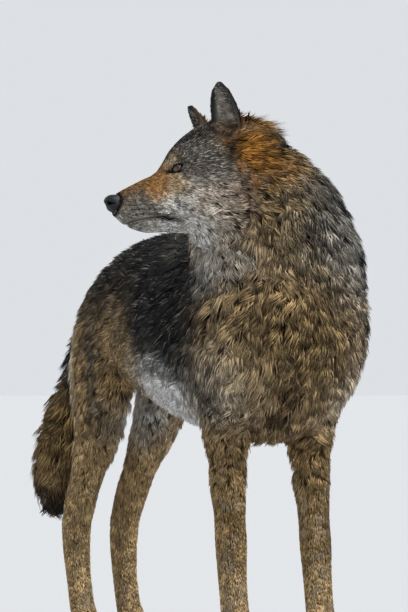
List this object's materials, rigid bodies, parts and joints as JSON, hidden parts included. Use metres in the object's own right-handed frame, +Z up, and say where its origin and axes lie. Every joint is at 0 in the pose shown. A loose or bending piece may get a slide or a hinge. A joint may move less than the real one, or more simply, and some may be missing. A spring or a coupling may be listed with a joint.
{
  "type": "grey wolf",
  "caption": "Standing grey wolf in winter coat, life size, with its head turned over its right shoulder and its tail hanging; a still model in one pose.",
  "frame": {"origin": "on the floor, at the middle of the animal's box seen from above", "axes": "+Z up, -Y the way that the chest faces, +X the animal's left side"},
  "size_m": [0.4652, 0.8768, 0.9588],
  "materials": {
    "grizzled_coat": "grizzled winter fur, black over buff",
    "ochre_coat": "short ochre fur",
    "dark_coat": "dark-tipped bushy fur",
    "nose_leather": "black pebbled skin, moist",
    "eye": "amber iris under a clear wet cornea",
    "claw": "dark horn, worn at the tip"
  },
  "bodies": {
    "root": {"claw_fore_left_1": "claw", "claw_fore_left_2": "claw", "claw_fore_left_3": "claw", "claw_fore_left_4": "claw", "claw_fore_right_1": "claw", "claw_fore_right_2": "claw", "claw_fore_right_3": "claw", "claw_fore_right_4": "claw", "claw_hind_left_1": "claw", "claw_hind_left_2": "claw", "claw_hind_left_3": "claw", "claw_hind_left_4": "claw", "claw_hind_right_1": "claw", "claw_hind_right_2": "claw", "claw_hind_right_3": "claw", "claw_hind_right_4": "claw", "dewclaw_left": "claw", "dewclaw_right": "claw", "ear_left": "grizzled_coat", "ear_right": "grizzled_coat", "eye_left": "eye", "eye_right": "eye", "fore_paw_left": "ochre_coat", "fore_paw_right": "ochre_coat", "forearm_left": "ochre_coat", "forearm_right": "ochre_coat", "head": "grizzled_coat", "hind_paw_left": "ochre_coat", "hind_paw_right": "ochre_coat", "lower_jaw": "grizzled_coat", "metatarsus_left": "ochre_coat", "metatarsus_right": "ochre_coat", "neck": "grizzled_coat", "nose": "nose_leather", "shank_left": "ochre_coat", "shank_right": "ochre_coat", "shoulder_left": "grizzled_coat", "shoulder_right": "grizzled_coat", "tail_brush": "dark_coat", "tail_root": "grizzled_coat", "thigh_left": "ochre_coat", "thigh_right": "ochre_coat", "trunk": "grizzled_coat"}
  },
  "joints": []
}
